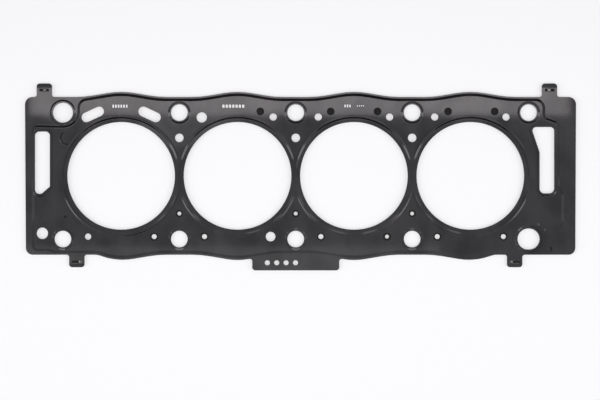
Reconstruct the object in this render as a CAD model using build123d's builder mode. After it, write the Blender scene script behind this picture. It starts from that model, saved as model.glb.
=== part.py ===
from build123d import *
from math import atan, degrees
import os

# Cylinder head gasket for an in-line four-cylinder engine, a stack of steel layers.
# X runs along the engine, Y across it, and Z up from the block towards the head. The origin
# lies on the face that meets the block, midway between cylinders 2 and 3. Millimetres.

os.makedirs("parts", exist_ok=True)

# Thickness of the layers, and the height that their beads are pressed to
SHEET = 0.25
CORE = 0.80
STOPPER = 0.15
BEAD = 0.25

# Heights, from the block face up. A bead layer is low where it lies on the core.
CORE_BOTTOM = SHEET + BEAD
CORE_TOP = CORE_BOTTOM + CORE
LOW = CORE_TOP + SHEET
HIGH = LOW + BEAD
MIDDLE = HIGH / 2

# Cylinders and head bolts
PITCH = 93.0
CYLINDERS = [PITCH * (i - 1.5) for i in range(4)]
BOLT_COLUMNS = [PITCH * (i - 2) for i in range(5)]
BORE_RADIUS = 43.0
BOLT_ROW = 50.5
BOLT_RADIUS = 6.65
DOWEL_RADIUS = 8.0
DOWEL_SLOT = (17.7, 16.8)

# Outer edge
EDGE = 63.0
HUMP = 67.0
HUMP_REACH = 29.6
HUMP_APEX = 67.95
HUMP_BLEND = 80.0
LEFT_TOP, LEFT_BOTTOM = -216.3, -215.5
RIGHT_TOP, RIGHT_BOTTOM = 223.9, 223.3
CORNER_TOP, CORNER_BOTTOM = 6.0, 5.5
END_HUMP_REACH = 19.0
END_HUMP_SHIFT = 2.7
END_HUMP_APEX = 68.4
END_HUMP_BLEND = 15.0
TIGHT_HUMP = 50.0
TAB_HALF = 6.1
TAB_CORNER = 2.5
TAB_ROOT = 2.0
TAB_TOP, TAB_BOTTOM = 73.8, 73.0
TOP_TABS = (-200.85, 202.7)
BOTTOM_TABS = (-174.9, 174.9)
LABEL_HALF = 34.75
LABEL_TOP, LABEL_BOTTOM = 65.95, 75.5

# Beads, as distances from the edge or the hole that each one follows
FIELD_INSET = 1.7
SLOPE = 1.6
FIELD_TAPER = degrees(atan(SLOPE / BEAD))
GROOVE_INNER = (46.7, 45.6)
GROOVE_OUTER = (47.4, 48.7)
RING_LAND, RING_RISE = 0.8, 2.1
RING_TAPER = degrees(atan(RING_RISE / BEAD))
STOPPER_RADII = (43.6, 45.4)

# Oil and water holes: (x, y, radius) through every layer
DRAIN_HOLES = [(-202.4, -45.9, 4.6), (-75.1, 46.7, 4.15)]
WATER_ROW, WATER_REACH, WATER_RADIUS = 47.0, 28.5, 2.9
WATER_COLUMNS = [
    cylinder + side * WATER_REACH
    for cylinder in CYLINDERS[1:]
    for side in (-1, 1)
][1:]
WEB_ROW, WEB_RADIUS = 30.35, 3.42
METER_ROW, METER_REACH = -48.55, 26.4
METER_RADII = (2.55, 2.03, 2.03, 3.85, 2.03, 1.6, 2.03, 2.03)
METER_RINGS = (0, 3.1, 3.1, 0, 3.1, 3.1, 3.1, 3.1)
VENT_ROW, VENT_RADIUS, VENT_RING = -30.15, 1.55, 2.75
BLIND_ROW, BLIND_RADIUS = 51.45, 3.05
BLIND_COLUMNS = (-28.3, 27.9, 65.3, 121.6, 158.8)
SLOT_ROW, SLOT_REACH, SLOT_TURN = 49.1, 22.7, 25
SLOT_LENGTH, SLOT_WIDTH = 19.0, 7.9
MARK_ROW, MARK_RADIUS, MARK_PITCH, MARK_START = -69.45, 2.05, 7.5, -22.7

# Shallow marks: an arc and a dot pressed into the field, and a dash struck in the edge strip
ARC_MARK = (-182.8, 30.3, 5.0, 125, 150)
DOT_MARK = (-184.0, -32.6, 1.2)
DASH_MARK = (204.0, -58.2)
DASH_LENGTH, DASH_WIDTH = 3.8, 1.4
PRESS_DEPTH, PRESS_WIDTH = 0.12, 0.9

# Lanced clinches that hold the layers together at the four tabs
CLINCH_LENGTH, CLINCH_WIDTH = 7.8, 2.4
CLINCH_RAMP, CLINCH_SLIT, CLINCH_GAP = 1.6, 0.1, 0.4
CLINCH_ROW = 68.6
CLINCHED = (0.0, 0.15, 0.65, 0.80)

ON_FLOOR = (Align.CENTER, Align.CENTER, Align.MIN)


def rounded_face(corners):
    """A face whose outline has a round corner at each (x, y, radius)."""
    with BuildSketch() as face:
        with BuildLine():
            FilletPolyline(
                [(x, y) for x, y, _ in corners],
                radius=[radius for _, _, radius in corners],
                close=True,
            )
        make_face()
    return face.sketch


def tab(middle, root, tip, side):
    """Corners of a tab, walked along X in the direction of side."""
    near, far = middle - side * TAB_HALF, middle + side * TAB_HALF
    return [
        (near, root, TAB_ROOT),
        (near, tip, TAB_CORNER),
        (far, tip, TAB_CORNER),
        (far, root, TAB_ROOT),
    ]


def hump(middle, side, inset):
    """Corners where an edge, walked in the direction of side, swells round a cylinder."""
    edge, apex = side * (EDGE - inset), side * (HUMP_APEX - inset)
    return [
        (middle - side * HUMP_REACH, edge, HUMP_BLEND),
        (middle, apex, HUMP - inset),
        (middle + side * HUMP_REACH, edge, HUMP_BLEND),
    ]


def end_hump(middle, outward, inset):
    """Corners of the block-side hump at an end cylinder, with its steeper outer flank."""
    return [
        (middle + outward * END_HUMP_REACH, inset - EDGE, END_HUMP_BLEND),
        (middle + outward * END_HUMP_SHIFT, inset - END_HUMP_APEX, TIGHT_HUMP - inset),
        (middle - outward * HUMP_REACH, inset - EDGE, HUMP_BLEND),
    ]


def gasket_outline():
    """The outer edge, walked along the top, down the right end and back along the bottom."""
    corners = [(LEFT_TOP, EDGE, CORNER_TOP)]
    corners += tab(TOP_TABS[0], EDGE, TAB_TOP, 1)
    for cylinder in CYLINDERS:
        corners += hump(cylinder, 1, 0)
    corners += tab(TOP_TABS[1], EDGE, TAB_TOP, 1)
    corners += [(RIGHT_TOP, EDGE, CORNER_TOP), (RIGHT_BOTTOM, -EDGE, CORNER_BOTTOM)]
    corners += tab(BOTTOM_TABS[1], -EDGE, -TAB_BOTTOM, -1)
    corners += end_hump(CYLINDERS[3], 1, 0)
    corners += [
        (CYLINDERS[2] + HUMP_REACH, -EDGE, HUMP_BLEND),
        (CYLINDERS[2], -HUMP_APEX, TIGHT_HUMP),
        (LABEL_HALF, -LABEL_TOP, TAB_ROOT),
        (LABEL_HALF, -LABEL_BOTTOM, TAB_CORNER),
        (-LABEL_HALF, -LABEL_BOTTOM, TAB_CORNER),
        (-LABEL_HALF, -LABEL_TOP, TAB_ROOT),
        (CYLINDERS[1], -HUMP_APEX, TIGHT_HUMP),
        (CYLINDERS[1] - HUMP_REACH, -EDGE, HUMP_BLEND),
    ]
    corners += reversed(end_hump(CYLINDERS[0], -1, 0))
    corners += tab(BOTTOM_TABS[0], -EDGE, -TAB_BOTTOM, -1)
    corners += [(LEFT_BOTTOM, -EDGE, CORNER_BOTTOM)]
    return rounded_face(corners)


def sealed_field():
    """The field that stands proud of the edge strip, bounded by the outer half bead.

    It leaves the two dowel corners and the edge outside, and takes in both end slots.
    """
    edge = EDGE - FIELD_INSET
    corners = [(-173.3, edge - 0.7, 6.5)]
    corners += hump(CYLINDERS[0], 1, FIELD_INSET)[1:]
    for cylinder in CYLINDERS[1:]:
        corners += hump(cylinder, 1, FIELD_INSET)
    corners += [
        (198.1, edge, 6.5),
        (198.1, 46.3, 4.0),
        (210.0, 42.0, 3.5),
        (210.0, -9.0, 5.0),
        (213.2, -15.0, 5.0),
        (213.2, -43.4, 7.0),
        (199.0, -43.4, 3.5),
        (194.0, -38.4, 4.0),
        (173.0, -38.4, 12.0),
        (173.0, -edge, 4.0),
    ]
    corners += end_hump(CYLINDERS[3], 1, FIELD_INSET)
    corners += hump(CYLINDERS[2], -1, FIELD_INSET)
    corners += hump(CYLINDERS[1], -1, FIELD_INSET)
    corners += reversed(end_hump(CYLINDERS[0], -1, FIELD_INSET))
    corners += [
        (-192.0, -edge, 3.0),
        (-197.0, -59.2, 3.0),
        (-209.6, -59.2, 3.5),
        (-209.9, 39.6, 3.0),
        (-173.3, 39.0, 12.5),
    ]
    return rounded_face(corners)


def bolt_places():
    """The x and y of each head bolt hole that has no dowel round it."""
    places = [(column, BOLT_ROW) for column in BOLT_COLUMNS[1:]]
    places += [(column, -BOLT_ROW) for column in BOLT_COLUMNS[:-1]]
    return places


def end_slots():
    """The two long openings between the end cylinders and the ends."""
    with BuildSketch() as slots:
        add(
            rounded_face(
                [
                    (-208.35, 35.4, 3.5),
                    (-196.4, 35.4, 3.5),
                    (-196.4, -8.6, 1.5),
                    (-203.2, -14.4, 2.0),
                    (-208.35, -14.4, 3.5),
                ]
            )
        )
        add(
            rounded_face(
                [
                    (188.0, 39.0, 3.0),
                    (206.5, 39.0, 3.0),
                    (206.5, -14.0, 4.0),
                    (194.8, -14.0, 3.8),
                    (194.8, 18.8, 6.0),
                ]
            )
        )
    return slots.sketch


def through_openings():
    """Every opening that goes through the whole stack, apart from the cylinder bores."""
    with BuildSketch() as openings:
        add(end_slots())
        with Locations((BOLT_COLUMNS[-1], -BOLT_ROW)):
            SlotOverall(*DOWEL_SLOT)
        with Locations(bolt_places()):
            Circle(BOLT_RADIUS)
        with Locations((BOLT_COLUMNS[0], BOLT_ROW)):
            Circle(DOWEL_RADIUS)
        for x, y, radius in DRAIN_HOLES:
            with Locations((x, y)):
                Circle(radius)
        with Locations([(column, WATER_ROW) for column in WATER_COLUMNS]):
            Circle(WATER_RADIUS)
        with Locations([(column, WEB_ROW) for column in BOLT_COLUMNS[1:4]]):
            Circle(WEB_RADIUS)
        with Locations([(column, VENT_ROW) for column in BOLT_COLUMNS[1:4]]):
            Circle(VENT_RADIUS)
        for column, radius in zip(meter_columns(), METER_RADII):
            with Locations((column, METER_ROW)):
                Circle(radius)
        for side in (-1, 1):
            with Locations((CYLINDERS[0] + side * SLOT_REACH, SLOT_ROW)):
                SlotOverall(SLOT_LENGTH, SLOT_WIDTH, rotation=-side * SLOT_TURN)
        with Locations([(MARK_START + i * MARK_PITCH, MARK_ROW) for i in range(4)]):
            Circle(MARK_RADIUS)
    return openings.sketch


def meter_columns():
    """The x of each metering hole, two to a cylinder."""
    return [cylinder + side * METER_REACH for cylinder in CYLINDERS for side in (-1, 1)]


def head_side_openings():
    """Openings in the head-side layer that are larger than those in the core beneath."""
    with BuildSketch() as openings:
        for column, radius in zip(meter_columns(), METER_RINGS):
            if radius:
                with Locations((column, METER_ROW)):
                    Circle(radius)
        with Locations([(column, VENT_ROW) for column in BOLT_COLUMNS[1:4]]):
            Circle(VENT_RING)
        with Locations([(column, BLIND_ROW) for column in BLIND_COLUMNS]):
            Circle(BLIND_RADIUS)
    return openings.sketch


def pressed_marks():
    """The arc and the dot that are pressed into the field."""
    x, y, radius, start, sweep = ARC_MARK
    with BuildLine() as path:
        CenterArc((x, y), radius, start, sweep)
    x, y, radius = DOT_MARK
    with BuildSketch() as marks:
        SlotArc(path.edges()[0], PRESS_WIDTH)
        with Locations((x, y)):
            Circle(radius)
    return marks.sketch


def clinch_places():
    """Where each clinch's hinge edge is, with the turn that points its tongue inwards."""
    half = CLINCH_LENGTH / 2
    return [
        Location((TOP_TABS[0] - half, CLINCH_ROW, 0)),
        Location((BOTTOM_TABS[0] - half, -CLINCH_ROW, 0)),
        Location((TOP_TABS[1] + half, CLINCH_ROW, 0), (0, 0, 180)),
        Location((BOTTOM_TABS[1] + half, -CLINCH_ROW, 0), (0, 0, 180)),
    ]


def clinch_windows():
    """The windows that the clinch tongues leave in a layer."""
    with BuildSketch() as windows:
        with Locations(clinch_places()):
            Rectangle(CLINCH_LENGTH, CLINCH_WIDTH, align=(Align.MIN, Align.CENTER))
    return windows.sketch


def clinch_tongue(bottom, top, pressed_bottom, pressed_top):
    """One layer's tongue: it ramps down from the sheet and runs flat to a free end."""
    end = CLINCH_LENGTH - CLINCH_GAP
    with BuildPart() as tongue:
        with BuildSketch(Plane.XZ):
            with BuildLine():
                Polyline(
                    (0, top),
                    (CLINCH_RAMP, pressed_top),
                    (end, pressed_top),
                    (end, pressed_bottom),
                    (CLINCH_RAMP, pressed_bottom),
                    (0, bottom),
                    close=True,
                )
            make_face()
        extrude(amount=CLINCH_WIDTH / 2 - CLINCH_SLIT, both=True)
    return tongue.part


def embossed_sheet():
    """A bead layer in the head-side position: the field high, beads and edge strip low.

    The sheet is what lies below its pressed top face, less the same form one sheet lower.
    """
    below_field = 2 * SHEET
    rims = [
        (BOLT_COLUMNS[0], BOLT_ROW, DOWEL_RADIUS + RING_LAND),
        (BOLT_COLUMNS[-1], -BOLT_ROW, DOWEL_SLOT[0] / 2 + RING_LAND),
    ]
    foot = BOLT_RADIUS + RING_LAND

    with BuildPart() as pressed:
        with BuildSketch(Plane.XY.offset(LOW - below_field)):
            add(gasket_outline())
        extrude(amount=below_field)
        with BuildSketch(Plane.XY.offset(LOW)):
            add(sealed_field())
            offset(amount=SLOPE / 2, kind=Kind.ARC)
        extrude(amount=BEAD, taper=FIELD_TAPER)
        with BuildSketch(Plane.XY.offset(LOW)):
            add(end_slots())
            offset(amount=RING_LAND, kind=Kind.ARC)
        extrude(amount=BEAD, taper=-RING_TAPER, mode=Mode.SUBTRACT)
        with Locations([(x, y, LOW) for x, y in bolt_places()]):
            Cone(foot, foot + RING_RISE, BEAD, align=ON_FLOOR, mode=Mode.SUBTRACT)
        for x, y, crest in rims:
            with Locations((x, y, LOW)):
                Cone(crest + RING_RISE, crest, BEAD, align=ON_FLOOR)
        with Locations([(cylinder, 0, LOW) for cylinder in CYLINDERS]):
            Cone(*GROOVE_OUTER, BEAD, align=ON_FLOOR, mode=Mode.SUBTRACT)
        with Locations([(cylinder, 0, LOW) for cylinder in CYLINDERS]):
            Cone(*GROOVE_INNER, BEAD, align=ON_FLOOR)
        with BuildSketch(Plane.XY.offset(HIGH)):
            add(pressed_marks())
        extrude(amount=-PRESS_DEPTH, mode=Mode.SUBTRACT)

    with BuildPart() as sheet:
        add(pressed.part)
        add(pressed.part.moved(Location((0, 0, -SHEET))), mode=Mode.SUBTRACT)
        with BuildSketch():
            add(through_openings())
            add(clinch_windows())
            with Locations([(cylinder, 0) for cylinder in CYLINDERS]):
                Circle(BORE_RADIUS)
        extrude(amount=HIGH, mode=Mode.SUBTRACT)
        with BuildSketch(Plane.XY.offset(LOW)):
            with Locations(DASH_MARK):
                SlotOverall(DASH_LENGTH, DASH_WIDTH, rotation=90)
        extrude(amount=-PRESS_DEPTH, mode=Mode.SUBTRACT)
    return sheet.part


with BuildPart() as top_bead_layer:
    add(embossed_sheet())
    with BuildSketch():
        add(head_side_openings())
    extrude(amount=HIGH, mode=Mode.SUBTRACT)
    with Locations(clinch_places()):
        add(clinch_tongue(CORE_TOP, LOW, CLINCHED[2], CLINCHED[3]))

with BuildPart() as bottom_bead_layer:
    add(mirror(embossed_sheet(), about=Plane.XY.offset(MIDDLE)))
    with Locations(clinch_places()):
        add(clinch_tongue(BEAD, CORE_BOTTOM, CLINCHED[0], CLINCHED[1]))

with BuildPart() as core_layer:
    with BuildSketch(Plane.XY.offset(CORE_BOTTOM)):
        add(gasket_outline())
        add(through_openings(), mode=Mode.SUBTRACT)
        add(clinch_windows(), mode=Mode.SUBTRACT)
        with Locations([(cylinder, 0) for cylinder in CYLINDERS]):
            Circle(BORE_RADIUS, mode=Mode.SUBTRACT)
    extrude(amount=CORE)
    with Locations(clinch_places()):
        add(clinch_tongue(CORE_BOTTOM, CORE_TOP, CLINCHED[1], CLINCHED[2]))

layers = {
    "top_bead_layer": top_bead_layer,
    "core_layer": core_layer,
    "bottom_bead_layer": bottom_bead_layer,
}

for number, cylinder in enumerate(CYLINDERS, start=1):
    with BuildPart() as stopper_ring:
        with BuildSketch(Plane.XY.offset(CORE_TOP)):
            with Locations((cylinder, 0)):
                Circle(STOPPER_RADII[1])
                Circle(STOPPER_RADII[0], mode=Mode.SUBTRACT)
        extrude(amount=STOPPER)
    layers[f"stopper_ring_{number}"] = stopper_ring

for name, layer in layers.items():
    layer.part.label = name
    export_step(layer.part, f"parts/{name}.step")
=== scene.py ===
"""Cylinder head gasket: three pressed and coated steel layers with their stopper rings.

Every layer is drawn in plan from the same outlines, triangulated, and lifted to a smooth
relief of beads, so that it takes the place of the plain solid in the frame. Plan sizes are
in millimetres, and a mesh is scaled to metres when it is made.
"""

import logging
import math
from dataclasses import dataclass, field
from enum import Enum, IntEnum
from functools import partial
from itertools import product
from typing import Callable, Sequence

import bpy
import numpy as np
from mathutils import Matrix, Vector
from mathutils.geometry import delaunay_2d_cdt


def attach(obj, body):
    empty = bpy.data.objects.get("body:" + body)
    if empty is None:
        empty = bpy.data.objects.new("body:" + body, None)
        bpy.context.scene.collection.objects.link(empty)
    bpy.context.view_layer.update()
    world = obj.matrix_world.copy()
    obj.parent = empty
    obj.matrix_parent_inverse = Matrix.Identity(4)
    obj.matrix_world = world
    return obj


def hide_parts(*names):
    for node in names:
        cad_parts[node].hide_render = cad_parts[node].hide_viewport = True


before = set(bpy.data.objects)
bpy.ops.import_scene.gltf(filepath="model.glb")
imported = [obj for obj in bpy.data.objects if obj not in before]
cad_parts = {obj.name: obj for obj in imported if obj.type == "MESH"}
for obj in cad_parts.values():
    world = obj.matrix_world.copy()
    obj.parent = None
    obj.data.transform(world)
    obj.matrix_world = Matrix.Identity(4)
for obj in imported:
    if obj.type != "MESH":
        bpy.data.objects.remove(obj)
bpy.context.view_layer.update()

log = logging.getLogger("gasket")

MM = 0.001
BODY = "root"

Array = np.ndarray
Pair = tuple[float, float]
Triple = tuple[float, float, float]
Height = Callable[[Array], Array]
Piece = bpy.types.Object
Material = bpy.types.Material
Socket = bpy.types.NodeSocket


def put_in_scene(name: str, data: bpy.types.ID) -> Piece:
    """Makes an object of some data, at the origin, and puts it in the scene."""
    piece = bpy.data.objects.new(name, data)
    bpy.context.scene.collection.objects.link(piece)
    return piece


class Side(Enum):
    """Which face of the stack a layer belongs to."""

    HEAD = "head_side_layer"
    CORE = "core_plate"
    BLOCK = "block_side_layer"


class Surface(IntEnum):
    """Which of a piece's materials a face has."""

    FACE = 0
    CUT = 1
    # The matt core coating, put on pressed marks and tongue tops as painted shade.
    PAINTED_SHADE = 2


class Outline:
    """A closed outline of straight runs and round corners, walked clockwise."""

    TURN_STEP = math.radians(5.0)

    def __init__(self, corners: Sequence[Triple]) -> None:
        """Keeps the x, y and radius of each corner, so that the inside lies to the right."""
        self.corners = list(corners)

    def points(self, inset: float = 0.0) -> Array:
        """Samples the outline, moved inwards.

        Args:
            inset: How far the line moves towards its inside, or outwards if negative.

        Returns:
            One row of x and y for each point, as many for every inset.
        """
        rows: list[Pair] = []
        corners = self.corners
        previous, following = corners[-1:] + corners, corners[1:] + corners
        for before, (x, y, bend), after in zip(previous, corners, following):
            here = Vector((x, y))
            arriving = (here - Vector(before[:2])).normalized()
            leaving = (Vector(after[:2]) - here).normalized()
            turn = math.atan2(arriving.cross(leaving), arriving.dot(leaving))
            side = math.copysign(1.0, turn)
            start = here - arriving * bend * math.tan(abs(turn) / 2)
            centre = start + Vector((-arriving.y, arriving.x)) * side * bend
            radius = bend + side * inset
            first = start - centre
            heading = math.atan2(first.y, first.x)
            steps = max(2, math.ceil(abs(turn) / self.TURN_STEP))
            for step in range(steps + 1):
                angle = heading + turn * step / steps
                across, along = radius * math.cos(angle), radius * math.sin(angle)
                rows.append((centre.x + across, centre.y + along))
        return np.array(rows)


@dataclass(frozen=True)
class Hole:
    """A round or oval hole.

    Args:
        x: Place along the engine.
        y: Place across the engine.
        radius: Radius of a round hole, or of an oval one's ends.
        stretch: Distance between the centres of an oval hole's ends.
        turn: Turn of an oval hole's long axis, in degrees.
    """

    x: float
    y: float
    radius: float
    stretch: float = 0.0
    turn: float = 0.0

    FEWEST, MOST = 12, 96
    STEPS_PER_RADIUS = (10.0, 2.2)

    @property
    def reach(self) -> float:
        """Distance of its furthest rim from its middle."""
        return self.radius + self.stretch / 2

    def beyond(self, points: Array) -> Array:
        """How far each point lies outside the circle of its reach."""
        return np.hypot(points[:, 0] - self.x, points[:, 1] - self.y) - self.reach

    def points(self, inset: float = 0.0) -> Array:
        """Samples the rim, grown by a negative inset, as an outline does."""
        radius = self.radius - inset
        base, rate = self.STEPS_PER_RADIUS
        half_steps = max(self.FEWEST, min(self.MOST, int(base + rate * self.radius)))
        half = np.linspace(-math.pi / 2, math.pi / 2, half_steps + 1)
        right = np.column_stack([np.cos(half) * radius + self.stretch / 2, np.sin(half) * radius])
        loop = np.vstack([right, -right] if self.stretch else [right[:-1], -right[:-1]])
        angle = math.radians(self.turn)
        spin = np.array([[math.cos(angle), math.sin(angle)], [-math.sin(angle), math.cos(angle)]])
        return loop @ spin + (self.x, self.y)


@dataclass(frozen=True)
class Stack:
    """Thicknesses and heights of the layers, from the block face up."""

    sheet: float = 0.25
    core: float = 0.80
    stopper: float = 0.15
    bead: float = 0.25

    @property
    def core_bottom(self) -> float:
        """Height of the core's lower face."""
        return self.sheet + self.bead

    @property
    def core_top(self) -> float:
        """Height of the core's upper face."""
        return self.core_bottom + self.core

    @property
    def low(self) -> float:
        """Height of the upper layer's top face where it lies on the core."""
        return self.core_top + self.sheet

    @property
    def high(self) -> float:
        """Height of the face that meets the head."""
        return self.low + self.bead


@dataclass(frozen=True)
class Pattern:
    """Where the bores, bolts, passages, tabs and beads are, in millimetres."""

    pitch: float = 93.0
    bore_radius: float = 43.0
    bolt_row: float = 50.5
    bolt_radius: float = 6.65
    dowel_radius: float = 8.0
    dowel_oval: Pair = (17.7, 16.8)
    edge: float = 63.0
    hump: float = 67.0
    hump_reach: float = 29.6
    hump_apex: float = 67.95
    hump_blend: float = 80.0
    left: Pair = (-216.3, -215.5)
    right: Pair = (223.9, 223.3)
    corner_top: float = 6.0
    corner_bottom: float = 5.5
    end_hump_reach: float = 19.0
    end_hump_shift: float = 2.7
    end_hump_apex: float = 68.4
    end_hump_blend: float = 15.0
    tight_hump: float = 50.0
    tab_half: float = 6.1
    tab_corner: float = 2.5
    tab_root: float = 2.0
    tab_top: float = 73.8
    tab_bottom: float = 73.0
    top_tabs: Pair = (-200.85, 202.7)
    bottom_tabs: Pair = (-174.9, 174.9)
    label_half: float = 34.75
    label_top: float = 65.95
    label_bottom: float = 75.5
    field_inset: float = 2.35
    slope: float = 2.3
    groove_inner: Pair = (45.6, 47.3)
    groove_outer: Pair = (47.4, 48.56)
    ring: Pair = (0.75, 2.45)
    rim: Pair = (1.1, 2.4)
    slot_ring: Pair = (1.15, 2.55)
    tab_bend: Triple = (69.9, 73.8, 0.155)
    tab_curl: float = 1.3
    stopper_radii: Pair = (43.6, 45.4)
    arc_mark: tuple[float, ...] = (-182.8, 30.3, 5.0, 125.0, 275.0)
    dot_mark: Triple = (-184.0, -32.6, 1.0)
    dash_mark: tuple[float, ...] = (204.0, -58.2, 3.8, 1.4)
    drains: tuple[Triple, ...] = ((-202.4, -45.9, 4.6), (-75.1, 46.7, 4.15))
    water_reach: float = 28.5
    water_row: float = 47.0
    water_radius: float = 2.9
    web_row: float = 30.35
    web_radius: float = 3.42
    vent_row: float = -30.15
    vent_radii: Pair = (1.55, 2.75)
    meter_reach: float = 26.4
    meter_row: float = -48.55
    meter_radii: tuple[float, ...] = (2.55, 2.03, 2.03, 3.85, 2.03, 1.6, 2.03, 2.03)
    meter_ring: float = 3.1
    plain_meters: tuple[int, ...] = (0, 3)
    covered_columns: tuple[float, ...] = (-28.3, 27.9, 65.3, 121.6, 158.8)
    covered_row: float = 51.45
    covered_radius: float = 3.05
    oblong_reach: float = 22.7
    oblong_row: float = 49.1
    oblong_shape: Pair = (3.95, 11.1)
    oblong_turn: float = 25.0
    label_hole_row: float = -69.45
    label_hole_radius: float = 2.05
    label_hole_columns: tuple[float, float, int] = (-22.7, 7.5, 4)

    CYLINDERS = 4
    BEND_SHARES = (0.0, 0.04, 0.12, 0.25, 0.5, 0.75)
    CREASE_SHORT, CREASE_SLANT = 0.2, 0.01

    @property
    def cylinders(self) -> list[float]:
        """The x of each cylinder's axis."""
        middle = (self.CYLINDERS - 1) / 2
        return [self.pitch * (index - middle) for index in range(self.CYLINDERS)]

    @property
    def bolt_columns(self) -> list[float]:
        """The x of each pair of head bolts."""
        middle = self.CYLINDERS / 2
        return [self.pitch * (index - middle) for index in range(self.CYLINDERS + 1)]

    @property
    def webs(self) -> list[float]:
        """The x of each web between two bores."""
        return self.bolt_columns[1:-1]

    def beside(self, reach: float) -> list[float]:
        """The x of the places at one distance to either side of each cylinder."""
        return [cylinder + side * reach for cylinder in self.cylinders for side in (-1, 1)]

    def tab(self, middle: float, root: float, tip: float, side: int) -> list[Triple]:
        """Corners of a tab, walked along X in the direction of side."""
        near, far = middle - side * self.tab_half, middle + side * self.tab_half
        return [
            (near, root, self.tab_root),
            (near, tip, self.tab_corner),
            (far, tip, self.tab_corner),
            (far, root, self.tab_root),
        ]

    def swell(self, middle: float, side: int, inset: float) -> list[Triple]:
        """Corners where an edge, walked in the direction of side, swells round a cylinder."""
        edge = side * (self.edge - inset)
        return [
            (middle - side * self.hump_reach, edge, self.hump_blend),
            (middle, side * (self.hump_apex - inset), self.hump - inset),
            (middle + side * self.hump_reach, edge, self.hump_blend),
        ]

    def end_swell(self, middle: float, outward: int, inset: float) -> list[Triple]:
        """Corners of the block-side swell at an end cylinder, with its steeper outer flank."""
        edge = inset - self.edge
        apex = inset - self.end_hump_apex
        return [
            (middle + outward * self.end_hump_reach, edge, self.end_hump_blend),
            (middle + outward * self.end_hump_shift, apex, self.tight_hump - inset),
            (middle - outward * self.hump_reach, edge, self.hump_blend),
        ]

    def outer_edge(self) -> Outline:
        """The outer edge, from the top left corner round by the right end."""
        corners = [(self.left[0], self.edge, self.corner_top)]
        corners += self.tab(self.top_tabs[0], self.edge, self.tab_top, 1)
        for cylinder in self.cylinders:
            corners += self.swell(cylinder, 1, 0.0)
        corners += self.tab(self.top_tabs[1], self.edge, self.tab_top, 1)
        corners += [
            (self.right[0], self.edge, self.corner_top),
            (self.right[1], -self.edge, self.corner_bottom),
        ]
        corners += self.tab(self.bottom_tabs[1], -self.edge, -self.tab_bottom, -1)
        corners += self.end_swell(self.cylinders[3], 1, 0.0)
        label = [
            (self.cylinders[2] + self.hump_reach, -self.edge, self.hump_blend),
            (self.cylinders[2], -self.hump_apex, self.tight_hump),
            (self.label_half, -self.label_top, self.tab_root),
            (self.label_half, -self.label_bottom, self.tab_corner),
        ]
        corners += label + [(-x, y, radius) for x, y, radius in reversed(label)]
        corners += reversed(self.end_swell(self.cylinders[0], -1, 0.0))
        corners += self.tab(self.bottom_tabs[0], -self.edge, -self.tab_bottom, -1)
        corners += [(self.left[1], -self.edge, self.corner_bottom)]
        return Outline(corners)

    def field(self) -> Outline:
        """The middle of the half bead that bounds the raised field."""
        inset = self.field_inset
        edge = self.edge - inset
        corners = [(-173.3, edge - 0.7, 6.5)]
        corners += self.swell(self.cylinders[0], 1, inset)[1:]
        for cylinder in self.cylinders[1:]:
            corners += self.swell(cylinder, 1, inset)
        corners += [
            (198.1, edge, 6.5),
            (198.1, 46.3, 4.0),
            (210.0, 42.0, 3.5),
            (210.0, -9.0, 5.0),
            (213.2, -15.0, 5.0),
            (213.2, -43.4, 7.0),
            (199.0, -43.4, 3.5),
            (194.0, -38.4, 4.0),
            (173.0, -38.4, 12.0),
            (173.0, -edge, 4.0),
        ]
        corners += self.end_swell(self.cylinders[3], 1, inset)
        for cylinder in self.cylinders[2:0:-1]:
            corners += self.swell(cylinder, -1, inset)
        corners += reversed(self.end_swell(self.cylinders[0], -1, inset))
        corners += [
            (-192.0, -edge, 3.0),
            (-197.0, -59.2, 3.0),
            (-209.6, -59.2, 3.5),
            (-209.9, 39.6, 3.0),
            (-173.3, 39.0, 12.5),
        ]
        return Outline(corners)

    def end_slots(self) -> list[Outline]:
        """The long openings at the two ends."""
        left = [
            (-208.35, 35.4, 3.5),
            (-196.4, 35.4, 3.5),
            (-196.4, -8.6, 1.5),
            (-203.2, -14.4, 2.0),
            (-208.35, -14.4, 3.5),
        ]
        right = [
            (188.0, 39.0, 3.0),
            (206.5, 39.0, 3.0),
            (206.5, -14.0, 4.0),
            (194.8, -14.0, 3.8),
            (194.8, 18.8, 6.0),
        ]
        return [Outline(left), Outline(right)]

    def bend(self, points: Array) -> Array:
        """How far the tips of the tabs are turned down at each place."""
        start, end, drop = self.tab_bend
        share = np.clip((np.abs(points[:, 1]) - start) / (end - start), 0.0, 1.0)
        beside = np.abs(points[:, 0]) > self.label_half + self.tab_root
        return np.where(beside, drop * share**self.tab_curl, 0.0)

    def bend_creases(self) -> list[Array]:
        """Loops across the tips of the tabs, where they turn down."""
        loops = []
        reach = self.tab_half - self.CREASE_SHORT
        for tabs, side in ((self.top_tabs, 1), (self.bottom_tabs, -1)):
            for x, share in product(tabs, self.BEND_SHARES):
                y = side * lerp(self.tab_bend[:2], share)
                apex = y + side * self.CREASE_SLANT
                loops.append(np.array([[x - reach, y], [x + reach, y], [x, apex]]))
        return loops

    def bores(self) -> list[Hole]:
        """The four cylinder bores."""
        return [Hole(cylinder, 0.0, self.bore_radius) for cylinder in self.cylinders]

    def bolt_holes(self) -> list[Hole]:
        """The holes for head bolts and dowels, each with a half bead round it."""
        columns = self.bolt_columns
        holes = [Hole(columns[0], self.bolt_row, self.dowel_radius)]
        holes += [Hole(column, self.bolt_row, self.bolt_radius) for column in columns[1:]]
        holes += [Hole(column, -self.bolt_row, self.bolt_radius) for column in columns[:-1]]
        length, width = self.dowel_oval
        holes.append(Hole(columns[-1], -self.bolt_row, width / 2, stretch=length - width))
        return holes

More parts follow.
